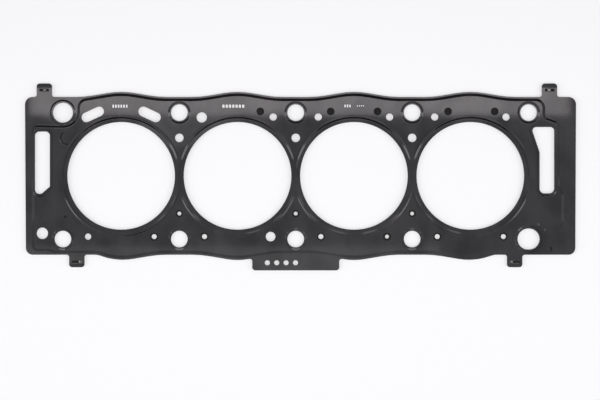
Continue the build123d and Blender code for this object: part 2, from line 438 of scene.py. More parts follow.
    def passages(self) -> list[Hole]:
        """The oil and water holes and the identification holes, through every layer."""
        water = self.beside(self.water_reach)[3:]
        meters = zip(self.beside(self.meter_reach), self.meter_radii)
        oblongs = zip(self.beside(self.oblong_reach), (self.oblong_turn, -self.oblong_turn))
        first, pitch, count = self.label_hole_columns
        labels = [first + pitch * index for index in range(count)]
        holes = [Hole(*drain) for drain in self.drains]
        holes += [Hole(x, self.water_row, self.water_radius) for x in water]
        holes += [Hole(x, self.web_row, self.web_radius) for x in self.webs]
        holes += [Hole(x, self.vent_row, self.vent_radii[0]) for x in self.webs]
        holes += [Hole(x, self.meter_row, radius) for x, radius in meters]
        holes += [Hole(x, self.oblong_row, *self.oblong_shape, turn) for x, turn in oblongs]
        holes += [Hole(x, self.label_hole_row, self.label_hole_radius) for x in labels]
        return holes

    def head_side_holes(self) -> list[Hole]:
        """Holes of the head-side layer alone, larger than what lies beneath them."""
        meters = enumerate(self.beside(self.meter_reach))
        ringed = [x for index, x in meters if index not in self.plain_meters]
        holes = [Hole(x, self.meter_row, self.meter_ring) for x in ringed]
        holes += [Hole(x, self.vent_row, self.vent_radii[1]) for x in self.webs]
        holes += [Hole(x, self.covered_row, self.covered_radius) for x in self.covered_columns]
        return holes


def smoothstep(value: Array) -> Array:
    """A soft step from 0 to 1 over the same range of the value."""
    clipped = np.clip(value, 0.0, 1.0)
    return clipped * clipped * (3.0 - 2.0 * clipped)


def lerp(ends: Pair, share: float) -> float:
    """The place a share of the way from one end to the other."""
    return ends[0] + share * (ends[1] - ends[0])


def climb(value: Array, ends: Pair) -> Array:
    """A pressed slope that rises from 0 to 1 between two values."""
    return pressed_step((value - ends[0]) / (ends[1] - ends[0]))


def pressed_step(value: Array, bend: float = 0.15) -> Array:
    """A straight slope from 0 to 1 with a round bend at either end.

    Args:
        value: Share of the way over the slope.
        bend: Share of the slope that each bend takes.

    Returns:
        One height for each value.
    """
    clipped = np.clip(value, 0.0, 1.0)
    short = np.minimum(clipped, 1.0 - clipped)
    steepness = 1.0 / (1.0 - bend)
    bent = short * short * steepness / (2 * bend)
    near = np.where(short < bend, bent, (short - bend / 2) * steepness)
    return np.where(clipped < 0.5, near, 1.0 - near)


def signed_distance(points: Array, loop: Array) -> Array:
    """Distance of each point from a closed loop, negative inside it.

    Args:
        points: One row of x and y for each point.
        loop: The loop's points in order.

    Returns:
        One distance for each point.
    """
    shortest2 = 1e-12
    nearest = np.full(len(points), np.inf)
    inside = np.zeros(len(points), dtype=bool)
    px, py = points[:, 0], points[:, 1]
    for (ax, ay), (bx, by) in zip(loop, np.roll(loop, -1, axis=0)):
        dx, dy = bx - ax, by - ay
        length2 = dx * dx + dy * dy
        if length2 < shortest2:
            continue
        along = np.clip(((px - ax) * dx + (py - ay) * dy) / length2, 0.0, 1.0)
        gap2 = (ax + along * dx - px) ** 2 + (ay + along * dy - py) ** 2
        nearest = np.minimum(nearest, gap2)
        crosses = (ay > py) != (by > py)
        if dy:
            inside ^= crosses & (px < ax + dx * (py - ay) / dy)
    distance = np.sqrt(nearest)
    return np.where(inside, -distance, distance)


class Relief:
    """How far a pressed sheet stands proud of its low places, in millimetres."""

    MARK_DEPTH = 0.12
    MARK_SLOPE = 0.95
    STRUCK_SLOPE = 0.4
    SLOPE_SHARES = np.linspace(-0.04, 1.04, 7)
    ARC_SHARES = np.linspace(0.05, 1.0, 6)
    DOT_SHARES = np.linspace(-0.5, 0.5, 5)
    STRUCK_SHARES = (-0.5, 0.0, 0.5)
    ARC_STEPS, CAP_STEPS = 31, 9

    def __init__(self, pattern: Pattern, bead: float) -> None:
        """Keeps the pattern and the bead height, and draws the lines that the beads follow."""
        self.pattern = pattern
        self.bead = bead
        self.field_loop = pattern.field().points()
        self.slot_loops = [slot.points() for slot in pattern.end_slots()]
        holes = pattern.bolt_holes()
        self.ringed = [hole for hole in holes if hole.radius == pattern.bolt_radius]
        self.rimmed = [hole for hole in holes if hole.radius != pattern.bolt_radius]
        self.axes = [Hole(cylinder, 0.0, 0.0) for cylinder in pattern.cylinders]

    def __call__(self, points: Array) -> Array:
        """Works out the relief.

        Args:
            points: One row of x and y for each place.

        Returns:
            One height for each place.
        """
        pattern = self.pattern
        distance = signed_distance(points, self.field_loop)
        raised = pressed_step(0.5 - distance / pattern.slope)
        for loop in self.slot_loops:
            raised = np.minimum(raised, climb(signed_distance(points, loop), pattern.slot_ring))
        for holes, slope in ((self.ringed, pattern.ring), (self.axes, pattern.groove_outer)):
            for hole in holes:
                raised = np.minimum(raised, climb(hole.beyond(points), slope))
        for holes, slope in ((self.axes, pattern.groove_inner), (self.rimmed, pattern.rim)):
            for hole in holes:
                raised = np.maximum(raised, 1.0 - climb(hole.beyond(points), slope))
        return raised * self.bead - self.MARK_DEPTH * self.marks(points)

    def marks(self, points: Array) -> Array:
        """How deep the pressed arc and dot are at each place, from 0 to 1."""
        x, y, radius, start, end = self.pattern.arc_mark
        angle = np.degrees(np.arctan2(points[:, 1] - y, points[:, 0] - x)) % 360.0
        nearest = np.radians(np.clip(angle, start, end))
        ends = np.column_stack([x + radius * np.cos(nearest), y + radius * np.sin(nearest)])
        arc = 1.0 - np.linalg.norm(points - ends, axis=1) / self.MARK_SLOPE
        dot = 0.5 - Hole(*self.pattern.dot_mark).beyond(points) / self.MARK_SLOPE
        return pressed_step(np.maximum(arc, dot))

    def struck(self, points: Array) -> Array:
        """How deep the struck dash is at each place of the upper face, from 0 to 1."""
        x, y, length, width = self.pattern.dash_mark
        reach = (length - width) / 2
        along = np.clip(points[:, 1] - y, -reach, reach)
        gap = np.hypot(points[:, 0] - x, points[:, 1] - y - along) - width / 2
        return pressed_step(0.5 - gap / self.STRUCK_SLOPE)

    def creases(self) -> list[Array]:
        """Loops along the slopes, which give the mesh its points there."""
        pattern = self.pattern
        loops = []
        rounds = [
            *product(self.ringed, [pattern.ring]),
            *product(self.rimmed, [pattern.rim]),
            *product(self.axes, [pattern.groove_inner, pattern.groove_outer]),
        ]
        for share in self.SLOPE_SHARES:
            loops.append(pattern.field().points((share - 0.5) * pattern.slope))
            loops += [slot.points(-lerp(pattern.slot_ring, share)) for slot in pattern.end_slots()]
            for hole, slope in rounds:
                loops.append(Hole(hole.x, hole.y, hole.reach + lerp(slope, share)).points())
        x, y, radius = pattern.dot_mark
        loops += [self.arc_loop(offset) for offset in self.ARC_SHARES * self.MARK_SLOPE]
        loops += [Hole(x, y, radius + rise).points() for rise in self.DOT_SHARES * self.MARK_SLOPE]
        return loops

    def arc_loop(self, offset: float) -> Array:
        """The outline that lies one distance from the middle of the pressed arc."""
        x, y, radius, start, end = self.pattern.arc_mark
        along = np.radians(np.linspace(start, end, self.ARC_STEPS))
        rays = np.column_stack([np.cos(along), np.sin(along)])
        cap = np.linspace(0.0, math.pi, self.CAP_STEPS)[1:-1]
        rows = [rays * (radius + offset)]
        for last, turn in ((along[-1], 0.0), (along[0], math.pi)):
            middle = radius * np.array([math.cos(last), math.sin(last)])
            facing = last + turn + cap
            rows.append(middle + offset * np.column_stack([np.cos(facing), np.sin(facing)]))
            if not turn:
                rows.append(rays[::-1] * (radius - offset))
        return np.vstack(rows) + (x, y)

    def struck_creases(self) -> list[Array]:
        """Loops along the slope of the struck dash."""
        x, y, length, width = self.pattern.dash_mark
        radii = [width / 2 + share * self.STRUCK_SLOPE for share in self.STRUCK_SHARES]
        return [Hole(x, y, radius, length - width, turn=90.0).points() for radius in radii]


@dataclass
class Plan:
    """A flat triangulated outline with holes.

    Args:
        points: One row of x and y for each vertex.
        triangles: One row of three vertices for each triangle, anticlockwise.
    """

    points: Array
    triangles: Array

    WELD = 1e-4
    STILL = 1e-9

    @classmethod
    def cut(
        cls,
        outer: Array,
        holes: Sequence[Array],
        creases: Sequence[Array] = (),
    ) -> "Plan":
        """Triangulates what lies inside an outer loop and outside every hole.

        Args:
            outer: The outer loop.
            holes: The loops of the holes.
            creases: More closed loops that edges follow.

        Returns:
            The plan, with vertices on every loop.
        """
        loops = [outer, *holes, *creases]
        coordinates: list[Vector] = []
        edges: list[tuple[int, int]] = []
        for loop in loops:
            first = len(coordinates)
            count = len(loop)
            coordinates += [Vector((float(x), float(y))) for x, y in loop]
            edges += [(first + i, first + (i + 1) % count) for i in range(count)]
        found = delaunay_2d_cdt(coordinates, edges, [], 0, cls.WELD, False)
        points = np.array([tuple(vertex) for vertex in found[0]])
        triangles = np.array(found[2])
        centres = points[triangles].mean(axis=1)
        keep = signed_distance(centres, outer) < 0
        for hole in holes:
            low, high = hole.min(axis=0), hole.max(axis=0)
            near = keep & np.all((centres > low) & (centres < high), axis=1)
            index = np.flatnonzero(near)
            keep[index[signed_distance(centres[index], hole) < 0]] = False
        triangles = triangles[keep]
        used, renumbered = np.unique(triangles, return_inverse=True)
        return cls(points[used], renumbered.reshape(triangles.shape))

    def rim(self) -> tuple[Array, Array]:
        """Finds the cut edges and which way they face.

        Returns:
            The directed edges, with the sheet on their left, and one outward unit vector
            for each vertex, which is zero away from a cut edge.
        """
        sides = np.vstack([self.triangles[:, [i, (i + 1) % 3]] for i in range(3)])
        count = len(self.points)
        forward = sides[:, 0] * count + sides[:, 1]
        backward = sides[:, 1] * count + sides[:, 0]
        edges = sides[~np.isin(forward, backward)]
        run = self.points[edges[:, 1]] - self.points[edges[:, 0]]
        outward = np.column_stack([run[:, 1], -run[:, 0]])
        outward /= np.linalg.norm(outward, axis=1, keepdims=True)
        facing = np.zeros_like(self.points)
        np.add.at(facing, edges[:, 0], outward)
        np.add.at(facing, edges[:, 1], outward)
        length = np.linalg.norm(facing, axis=1, keepdims=True)
        turned = length > self.STILL
        return edges, np.divide(facing, length, out=np.zeros_like(facing), where=turned)


@dataclass
class Shell:
    """Vertices, faces and vertex normals that grow into one mesh, in millimetres."""

    points: list[Array] = field(default_factory=list)
    normals: list[Array] = field(default_factory=list)
    faces: list[Array] = field(default_factory=list)
    finishes: list[Array] = field(default_factory=list)
    count: int = 0

    def add_points(self, points: Array, normals: Array) -> int:
        """Adds vertices and returns the number of the first."""
        first = self.count
        self.points.append(points)
        self.normals.append(normals)
        self.count += len(points)
        return first

    def add_faces(self, faces: Array, finish: int | Array = 0) -> None:
        """Adds triangles.

        Args:
            faces: One row of three vertex numbers for each triangle.
            finish: Which of the piece's materials they have, for all or for each.
        """
        rows = np.asarray(faces, dtype=np.int64).reshape(-1, 3)
        self.faces.append(rows)
        self.finishes.append(np.broadcast_to(finish, len(rows)))

    def add_band(self, edges: Array, upper: int, lower: int, finish: int) -> None:
        """Joins two copies of a rim, the upper one starting at one number, the lower at another."""
        a, b = edges[:, 0], edges[:, 1]
        self.add_faces(np.column_stack([upper + a, lower + a, lower + b]), finish)
        self.add_faces(np.column_stack([upper + a, lower + b, upper + b]), finish)

    def build(self, name: str) -> Piece:
        """Makes the object, with its place in its mesh.

        Args:
            name: Name of the piece.

        Returns:
            The object, at the origin, unturned and unscaled.
        """
        points = np.vstack(self.points) * MM
        normals = np.vstack(self.normals)
        faces = np.vstack(self.faces)
        used, renumbered = np.unique(faces, return_inverse=True)
        mesh = bpy.data.meshes.new(name)
        mesh.from_pydata(points[used].tolist(), [], renumbered.reshape(faces.shape).tolist())
        mesh.polygons.foreach_set("material_index", np.concatenate(self.finishes).astype(np.int32))
        mesh.shade_smooth()
        lengths = np.linalg.norm(normals, axis=1, keepdims=True)
        mesh.normals_split_custom_set_from_vertices((normals / lengths)[used].tolist())
        mesh.update()
        return put_in_scene(name, mesh)


class PressedSheet:
    """A sheet of one thickness that follows a relief, with its cut edges broken."""

    EDGE_BREAK = 0.05
    PROBE = 0.02
    PAINTED_SHADE_FROM = 0.3
    UPWARD = 1e-6

    def __init__(
        self, plan: Plan, upper: Height, lower: Height, hollow: Height | None = None
    ) -> None:
        """Keeps what the sheet is made from.

        Args:
            plan: The sheet seen from above, smaller all round by the edge break.
            upper: Gives the height of its upper face at each place.
            lower: Gives the height of its lower face at each place.
            hollow: Gives how deep in a mark each place of its upper face is, from 0 to 1; faces
                deep in a mark take the matt core coating as painted shade.
        """
        self.plan = plan
        self.upper = upper
        self.lower = lower
        self.painted_shade_finishes = np.zeros(len(plan.triangles), dtype=np.int32)
        # Faces deep in a pressed mark take the matt core coating, painted shade that darkens the
        # mark.
        if hollow is not None:
            centres = plan.points[plan.triangles].mean(axis=1)
            self.painted_shade_finishes[hollow(centres) > self.PAINTED_SHADE_FROM] = Surface.PAINTED_SHADE

    def face(self, height: Height) -> tuple[Array, Array]:
        """Works out a face's vertices and the upward normals there."""
        points = self.plan.points
        slopes = [
            (height(points + step) - height(points - step)) / (2 * self.PROBE)
            for step in ((self.PROBE, 0.0), (0.0, self.PROBE))
        ]
        up = np.column_stack([-slopes[0], -slopes[1], np.ones(len(points))])
        return np.column_stack([points, height(points)]), up

    def shell(self) -> Shell:
        """Gives the sheet its two faces and its edges, and returns the closed shell."""
        plan = self.plan
        edges, facing = plan.rim()
        upper, up = self.face(self.upper)
        lower, lower_up = self.face(self.lower)
        side = np.column_stack([facing, np.full(len(facing), self.UPWARD)])
        grow = np.column_stack([facing, np.full(len(facing), -1.0)]) * self.EDGE_BREAK
        shell = Shell()
        top = shell.add_points(upper, up)
        high = shell.add_points(upper + grow, side)
        low = shell.add_points(lower + grow * (1.0, 1.0, -1.0), side)
        bottom = shell.add_points(lower, -lower_up)
        shell.add_faces(plan.triangles + top, self.painted_shade_finishes)
        shell.add_faces(plan.triangles[:, ::-1] + bottom)
        shell.add_band(edges, top, high, Surface.FACE)
        shell.add_band(edges, high, low, Surface.CUT)
        shell.add_band(edges, low, bottom, Surface.FACE)
        return shell


class Nodes:
    """Short calls that add and join the nodes of one tree."""

    MIX_SHARE, MIX_FIRST, MIX_SECOND, MIX_RESULT = 0, 6, 7, 2

    def __init__(self, tree: bpy.types.NodeTree) -> None:
        """Keeps the tree."""
        self.tree = tree

    def add(self, kind: str, **settings: object) -> bpy.types.Node:
        """Adds a node.

        Args:
            kind: The node's type.
            **settings: Its own properties by name, and under "values" a table of inputs,
                each a number, a vector or the socket that it is joined to.

        Returns:
            The node.
        """
        node = self.tree.nodes.new(kind)
        values = settings.pop("values", {})
        for name, value in settings.items():
            setattr(node, name, value)
        for key, value in values.items():
            self.join(node, key, value)
        return node

    def join(self, node: bpy.types.Node, key: str | int, value: object) -> None:
        """Sets one input to a value, or joins it to another node's socket."""
        socket = node.inputs[key]
        if isinstance(value, Socket):
            self.tree.links.new(value, socket)
        else:
            socket.default_value = value

    def math(self, operation: str, first: object, second: object = 0.0) -> Socket:
        """Adds a Math node and returns what it gives."""
        node = self.add("ShaderNodeMath", operation=operation, values={0: first, 1: second})
        return node.outputs[0]

    def ramp(self, value: object, low: float, high: float) -> Socket:
        """Maps a range of a value smoothly to 0 to 1."""
        values = {"Value": value, "From Min": low, "From Max": high}
        node = self.add("ShaderNodeMapRange", interpolation_type="SMOOTHSTEP", values=values)
        return node.outputs["Result"]

    def blend(self, share: object, first: object, second: object) -> Socket:
        """Mixes two colours by a share."""
        values = {self.MIX_SHARE: share, self.MIX_FIRST: first, self.MIX_SECOND: second}
        node = self.add("ShaderNodeMix", data_type="RGBA", values=values)
        return node.outputs[self.MIX_RESULT]

    def end(self, kind: str, shader: bpy.types.Node) -> None:
        """Adds the output of a material or the world, and joins a shader to it."""
        self.add(f"ShaderNodeOutput{kind}", values={"Surface": shader.outputs[0]})


def bare_nodes(owner: Material | bpy.types.World) -> Nodes:
    """Gives a material or the world an empty tree of nodes."""
    owner.use_nodes = True
    owner.node_tree.nodes.clear()
    return Nodes(owner.node_tree)


class Effect:
    """A shader node group that is built once and placed in each material."""

    def __init__(self, name: str, inputs: dict[str, float], outputs: Sequence[str]) -> None:
        """Makes the group with its sockets.

        Args:
            name: Name of the group.
            inputs: Each number input with its default.
            outputs: The value outputs.
        """
        self.tree = bpy.data.node_groups.new(name, "ShaderNodeTree")
        new_socket = partial(self.tree.interface.new_socket, socket_type="NodeSocketFloat")
        for socket, default in inputs.items():
            new_socket(socket, in_out="INPUT").default_value = default
        for socket in outputs:
            new_socket(socket, in_out="OUTPUT")
        self.nodes = Nodes(self.tree)
        self.start = self.tree.nodes.new("NodeGroupInput")
        self.end = self.tree.nodes.new("NodeGroupOutput")

    def noise(self, stretch: tuple[object, object, object], detail: float) -> Socket:
        """Adds a noise on the piece's own coordinates.

        Args:
            stretch: Scale of the noise along x, y and z, each a number or a socket.
            detail: How many finer octaves it has.

        Returns:
            The noise's value.
        """
        place = self.nodes.add("ShaderNodeTexCoord").outputs["Object"]
        scale = self.nodes.add("ShaderNodeCombineXYZ", values=dict(enumerate(stretch)))
        values = {"Vector": place, "Scale": scale.outputs[0]}
        scaled = self.nodes.add("ShaderNodeMapping", values=values)
        values = {"Vector": scaled.outputs[0], "Scale": 1.0, "Detail": detail}
        return self.nodes.add("ShaderNodeTexNoise", values=values).outputs["Fac"]

    def place(self, nodes: Nodes, **values: float) -> bpy.types.Node:
        """Puts the group in a material, with that material's own values."""
        named = {key.replace("_", " "): value for key, value in values.items()}
        return nodes.add("ShaderNodeGroup", node_tree=self.tree, values=named)


def mottle_effect() -> Effect:
    """Cloudy variation of a rolled coating, the speckle of its filler, and wiped smears."""
    sizes = {"Cloud size": 45.0, "Speckle size": 1600.0, "Smear width": 38.0, "Smear length": 9.0}
    effect = Effect("coating_mottle", sizes, ["Cloud", "Speckle", "Smear"])
    nodes, given = effect.nodes, effect.start.outputs
    cloud = effect.noise((given["Cloud size"],) * 3, detail=4.0)
    speckle = effect.noise((given["Speckle size"],) * 3, detail=2.0)
    smear = effect.noise((given["Smear width"], given["Smear length"], 0.0), detail=3.0)
    nodes.join(effect.end, "Cloud", nodes.ramp(cloud, low=0.3, high=0.7))
    nodes.join(effect.end, "Speckle", nodes.ramp(speckle, low=0.35, high=0.65))
    nodes.join(effect.end, "Smear", nodes.ramp(smear, low=0.42, high=0.72))
    return effect


def scratch_effect() -> Effect:
    """Fine marks that handling leaves, along the sheet and across it."""
    apart = 7.0
    effect = Effect("handling_marks", {"Length": 45.0, "Width": 2600.0}, ["Mark"])
    nodes, given = effect.nodes, effect.start.outputs
    along = effect.noise((given["Length"], given["Width"], 0.0), detail=2.0)
    across = effect.noise((given["Width"], given["Length"], apart), detail=2.0)
    along = nodes.ramp(along, low=0.70, high=0.78)
    across = nodes.ramp(across, low=0.72, high=0.80)
    nodes.join(effect.end, "Mark", nodes.math("MAXIMUM", along, across))
    return effect


@dataclass(frozen=True)
class Finish:
    """How one surface of the gasket looks.

    Args:
        name: Name of the material.
        slot: The record's material slot, which is not used here.
        dark: Colour in the darker clouds.
        light: Colour in the lighter clouds.
        smear: Colour of the wiped smears.
        roughness: Lowest and highest roughness.
        metallic: How metallic it is.
        specular: Strength of its plain reflection.
        coat: Weight of the glossy skin over it, where its clouds are thickest.
        cloud: Size of the clouds, as a noise scale.
        grain: Height of the fine grain, in metres.
    """

    name: str
    slot: str
    dark: Triple
    light: Triple
    smear: Triple
    roughness: Pair
    metallic: float = 0.0
    specular: float = 0.5
    coat: float = 0.0
    cloud: float = 45.0
    grain: float = 1e-6

    CLOUD_SHARE = 0.5
    WEAR_SHARE = 0.6
    MARK_DEPTH = 0.5

    def material(self, mottle: Effect, scratches: Effect) -> Material:
        """Builds the material.

        Args:
            mottle: The cloud, speckle and smear effect.
            scratches: The handling marks.

        Returns:
            The material.
        """
        material = bpy.data.materials.new(self.name)
        nodes = bare_nodes(material)
        cloud, speckle, smear = mottle.place(nodes, Cloud_size=self.cloud).outputs
        mark = scratches.place(nodes).outputs[0]
        colour = nodes.blend(cloud, (*self.dark, 1.0), (*self.light, 1.0))
        colour = nodes.blend(smear, colour, (*self.smear, 1.0))
        painted_shade_finishes = nodes.math("MULTIPLY", nodes.math("MAXIMUM", smear, mark), self.WEAR_SHARE)
        share = nodes.math("MAXIMUM", nodes.math("MULTIPLY", cloud, self.CLOUD_SHARE), painted_shade_finishes)
        rough = nodes.math("MULTIPLY", share, self.roughness[1] - self.roughness[0])
        rough = nodes.math("ADD", rough, self.roughness[0])
        height = nodes.math("SUBTRACT", speckle, nodes.math("MULTIPLY", mark, self.MARK_DEPTH))
        bump = nodes.add("ShaderNodeBump", values={"Distance": self.grain, "Height": height})
        values = {
            "Base Color": colour,
            "Roughness": rough,
            "Metallic": self.metallic,
            "Specular IOR Level": self.specular,
            "Normal": bump.outputs[0],
        }
        if self.coat > 0.0:
            values["Coat Weight"] = nodes.math("MULTIPLY", cloud, self.coat)
            values["Coat Roughness"] = self.roughness[1]
        nodes.end("Material", nodes.add("ShaderNodeBsdfPrincipled", values=values))
        return material


BLACK_COATING = Finish(
    name="black_coating",
    slot="coated_steel",
    dark=(0.0050, 0.0050, 0.0056),
    light=(0.0090, 0.0086, 0.0090),
    smear=(0.0160, 0.0140, 0.0145),
    roughness=(0.045, 0.085),
    specular=0.43,
    coat=0.28,
)
# The core's own matt coating; the pressed marks and the tongues' upper faces also take it as
# painted shade.
CORE_COATING_AND_PAINTED_SHADE = Finish(
    name="matt_core_coating",
    slot="core_steel",
    dark=(0.0065, 0.0063, 0.0067),
    light=(0.0125, 0.0120, 0.0122),
    smear=(0.0145, 0.0135, 0.0133),
    roughness=(0.5, 0.7),
    specular=0.16,
    grain=3e-6,
)
CUT_STEEL = Finish(
    name="cut_edge_steel",
    slot="coated_steel",
    dark=(0.30, 0.29, 0.28),
    light=(0.46, 0.45, 0.44),
    smear=(0.36, 0.33, 0.30),
    roughness=(0.28, 0.45),
    metallic=1.0,
    cloud=400.0,
    grain=6e-6,
)
STOPPER_STEEL = Finish(
    name="stopper_steel",
    slot="stopper_steel",
    dark=(0.45, 0.44, 0.43),
    light=(0.58, 0.57, 0.56),
    smear=(0.50, 0.47, 0.44),
    roughness=(0.2, 0.32),
    metallic=1.0,
    cloud=200.0,
)
WHITE_INK = Finish(
    name="white_ink",
    slot="coated_steel",
    dark=(0.88, 0.88, 0.88),
    light=(0.95, 0.95, 0.95),
    smear=(0.80, 0.79, 0.77),
    roughness=(0.45, 0.6),
    cloud=900.0,
)


class PieceTree:
    """A Geometry Nodes tree that sets one shape out in a row, and makes whole pieces."""

    ROW_INPUTS = {"Start": "Vector", "Step": "Vector", "Count": "Int", "Material": "Material"}

    def __init__(self, name: str, numbers: Sequence[str]) -> None:
        """Makes the tree with its named inputs.

        Args:
            name: Name of the tree.
            numbers: Names of the shape's number inputs, before those of the row.
        """
        self.tree = bpy.data.node_groups.new(name, "GeometryNodeTree")
        new_socket = self.tree.interface.new_socket
        for socket, kind in (dict.fromkeys(numbers, "Float") | self.ROW_INPUTS).items():
            new_socket(socket, in_out="INPUT", socket_type=f"NodeSocket{kind}")
        new_socket("Geometry", in_out="OUTPUT", socket_type="NodeSocketGeometry")
        self.nodes = Nodes(self.tree)
        self.given = self.tree.nodes.new("NodeGroupInput").outputs
        self.end = self.tree.nodes.new("NodeGroupOutput")

    def node(self, kind: str, **settings: object) -> Socket:
        """Adds a Geometry Nodes node and returns its first output."""
        return self.nodes.add(f"GeometryNode{kind}", **settings).outputs[0]

    def rounded(self, height: str, count: int, radius: str) -> Socket:
        """Adds a flat outline with round corners, as wide as the input Width.

        Args:
            height: Name of the input that it is as high as.
            count: How many points each corner has, less one.
            radius: Name of the input that its corners are rounded to.

        Returns:
            The outline.
        """
        sides = {"Width": self.given["Width"], "Height": self.given[height]}
        outline = self.node("CurvePrimitiveQuadrilateral", values=sides)
        corners = {"Curve": outline, "Count": count, "Radius": self.given[radius]}
        return self.node("FilletCurve", mode="POLY", values=corners)

    def repeat(self, shape: Socket) -> None:
        """Sets the geometry of one shape out along a line, and ends the tree."""
        given = self.given
        steps = {"Count": given["Count"], "Start Location": given["Start"], "Offset": given["Step"]}
        line = self.node("MeshLine", mode="OFFSET", values=steps)
        placed = self.node("InstanceOnPoints", values={"Points": line, "Instance": shape})
        real = self.node("RealizeInstances", values={0: placed})
        values = {"Geometry": real, "Material": given["Material"]}
        self.nodes.join(self.end, 0, self.node("SetMaterial", values=values))

    def make(self, name: str, **values: object) -> Piece:
        """Makes one piece.

        Args:
            name: Name of the piece.
            **values: Each input of the tree, with an underscore for a space.

        Returns:
            The piece, a plain mesh with nothing live on it.
        """
        piece = put_in_scene(name, bpy.data.meshes.new(f"{name}_base"))
        modifier = piece.modifiers.new("shape", "NODES")
        modifier.node_group = self.tree
        for item in self.tree.interface.items_tree:
            if item.in_out == "INPUT":
                modifier[item.identifier] = values[item.name.replace(" ", "_")]
        evaluated = piece.evaluated_get(bpy.context.evaluated_depsgraph_get())
        mesh = bpy.data.meshes.new_from_object(evaluated)
        piece.modifiers.clear()
        piece.data = mesh
        return piece


def ring_tree() -> PieceTree:
    """A row of flat rings with broken edges."""
    steps = 180
    tree = PieceTree("ring_row", ["Radius", "Width", "Thickness", "Edge break"])
    values = {"Resolution": steps, "Radius": tree.given["Radius"]}
    circle = tree.node("CurvePrimitiveCircle", values=values)
    section = tree.rounded("Thickness", 2, "Edge break")
    tree.repeat(tree.node("CurveToMesh", values={"Curve": circle, "Profile Curve": section}))
    return tree


def print_tree() -> PieceTree:
    """A row of thin printed bars with round corners."""
    weld = 1e-7
    tree = PieceTree("print_row", ["Width", "Height", "Corner", "Thickness"])
    outline = tree.rounded("Height", 3, "Corner")
    base = tree.node("FillCurve", mode="NGONS", values={"Curve": outline})
    raised = {"Mesh": base, "Offset Scale": tree.given["Thickness"], "Individual": False}
    top = tree.node("ExtrudeMesh", mode="FACES", values=raised)
    under = tree.node("FlipFaces", values={"Mesh": base})
    both = tree.nodes.add("GeometryNodeJoinGeometry")
    for part in (top, under):
        tree.nodes.join(both, 0, part)
    joined = {"Geometry": both.outputs[0], "Distance": weld}
    tree.repeat(tree.node("MergeByDistance", values=joined))
    return tree


@dataclass(frozen=True)
class PrintRow:
    """A row of plain printed bars.

    Args:
        x: Middle of the first bar.
        y: Middle of the row.
        count: How many bars there are.
        pitch: Distance from one bar to the next.
        width: Width of a bar.
        height: Height of a bar.
    """

    x: float
    y: float
    count: int
    pitch: float
    width: float
    height: float


